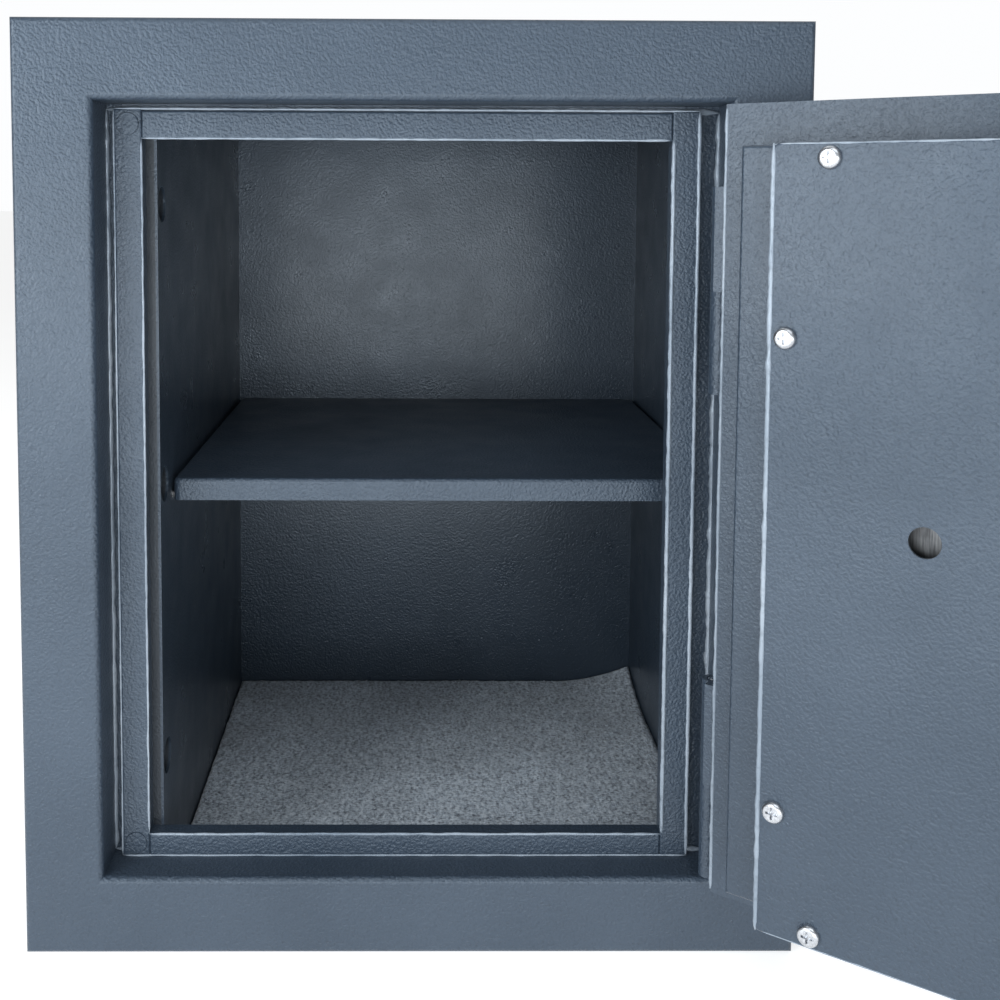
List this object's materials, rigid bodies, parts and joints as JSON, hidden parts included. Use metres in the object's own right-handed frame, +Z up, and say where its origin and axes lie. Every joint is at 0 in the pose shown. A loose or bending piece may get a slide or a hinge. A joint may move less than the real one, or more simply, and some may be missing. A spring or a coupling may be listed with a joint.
{
  "type": "gun safe",
  "caption": "Small steel gun safe with a recessed hinged door, live boltwork, key lock, turning handle, lined compartment, shelf and carpeted floor.",
  "frame": {"origin": "centre of the casing's underside, on the floor", "axes": "+X to the right seen from the front, +Y into the safe, +Z up"},
  "size_m": [0.6303, 0.5895, 0.5],
  "materials": {
    "hammer_enamel": "textured blue-grey enamel",
    "inner_enamel": "textured blue-grey enamel",
    "zinc": "bright zinc plate",
    "bright_steel": "turned and polished",
    "plated_steel": "dark phosphated sheet",
    "hard_steel": "hardened, dark",
    "chrome": "satin chrome",
    "brass": "machined brass",
    "fire_board": "pressed mineral board",
    "carpet": "short grey needle-felt pile"
  },
  "bodies": {
    "root": {"back_plate": "hammer_enamel", "bolt_cups": "inner_enamel", "bottom_plate": "hammer_enamel", "carpet": "carpet", "frame_plugs": "hammer_enamel", "front_frame": "hammer_enamel", "hinge_body_lower": "hammer_enamel", "hinge_body_upper": "hammer_enamel", "hinge_pin_lower": "bright_steel", "hinge_pin_upper": "bright_steel", "insulation_back": "fire_board", "insulation_bottom": "fire_board", "insulation_left": "fire_board", "insulation_right": "fire_board", "insulation_top": "fire_board", "jamb_strip": "inner_enamel", "left_plate": "hammer_enamel", "liner_back": "inner_enamel", "liner_ceiling": "inner_enamel", "liner_floor": "inner_enamel", "liner_left": "inner_enamel", "liner_right": "inner_enamel", "right_plate": "hammer_enamel", "shelf": "inner_enamel", "shelf_pegs": "bright_steel", "stop_bar_bottom": "hammer_enamel", "stop_bar_left": "hammer_enamel", "stop_bar_right": "hammer_enamel", "stop_bar_top": "hammer_enamel", "top_plate": "hammer_enamel"},
    "door": {"bolt_cover": "hammer_enamel", "bolt_guide": "plated_steel", "cover_posts": "plated_steel", "cover_screws": "zinc", "door_box": "hammer_enamel", "door_insulation": "fire_board", "door_plate": "hammer_enamel", "guide_studs": "bright_steel", "handle_rose": "chrome", "hard_plate": "hard_steel", "hinge_door_lower": "hammer_enamel", "hinge_door_upper": "hammer_enamel", "key_escutcheon": "chrome", "lock_case": "plated_steel", "spindle_bush": "brass"},
    "boltwork": {"bolt_upper": "bright_steel", "bolt_middle": "bright_steel", "bolt_lower": "bright_steel", "bolt_bar": "plated_steel", "drive_link": "plated_steel"},
    "handle": {"handle": "chrome", "handle_spindle": "bright_steel", "drive_crank": "plated_steel"},
    "lock_bolt": {"lock_bolt": "brass"},
    "key_plug": {"key_plug": "brass", "lock_cam": "bright_steel", "key": "chrome"}
  },
  "joints": [
    {"name": "door_hinge", "type": "hinge", "parent": "root", "child": "door", "pos_m": [0.16, -0.187, 0.25], "axis": [0, 0, 1], "range_deg": [-145, 20]},
    {"name": "handle_turn", "type": "hinge", "parent": "door", "child": "handle", "pos_m": [0.31421, -0.29803, 0.25], "axis": [0.5736, 0.8192, 0], "range_deg": [0, 60]},
    {"name": "bolt_slide", "type": "slide", "parent": "door", "child": "boltwork", "axis": [0.8192, -0.5736, 0], "range_m": [0, 0.018]},
    {"name": "key_turn", "type": "hinge", "parent": "door", "child": "key_plug", "pos_m": [0.25359, -0.25558, 0.309], "axis": [-0.5736, -0.8192, 0], "range_deg": [0, 90]},
    {"name": "lock_bolt_slide", "type": "slide", "parent": "door", "child": "lock_bolt", "axis": [0, 0, -1], "range_m": [0, 0.009]}
  ],
  "couplings": [
    {"joint": "bolt_slide", "follows": "handle_turn", "m_per_rad": 0.017189},
    {"joint": "lock_bolt_slide", "follows": "key_turn", "m_per_rad": 0.0057296}
  ]
}
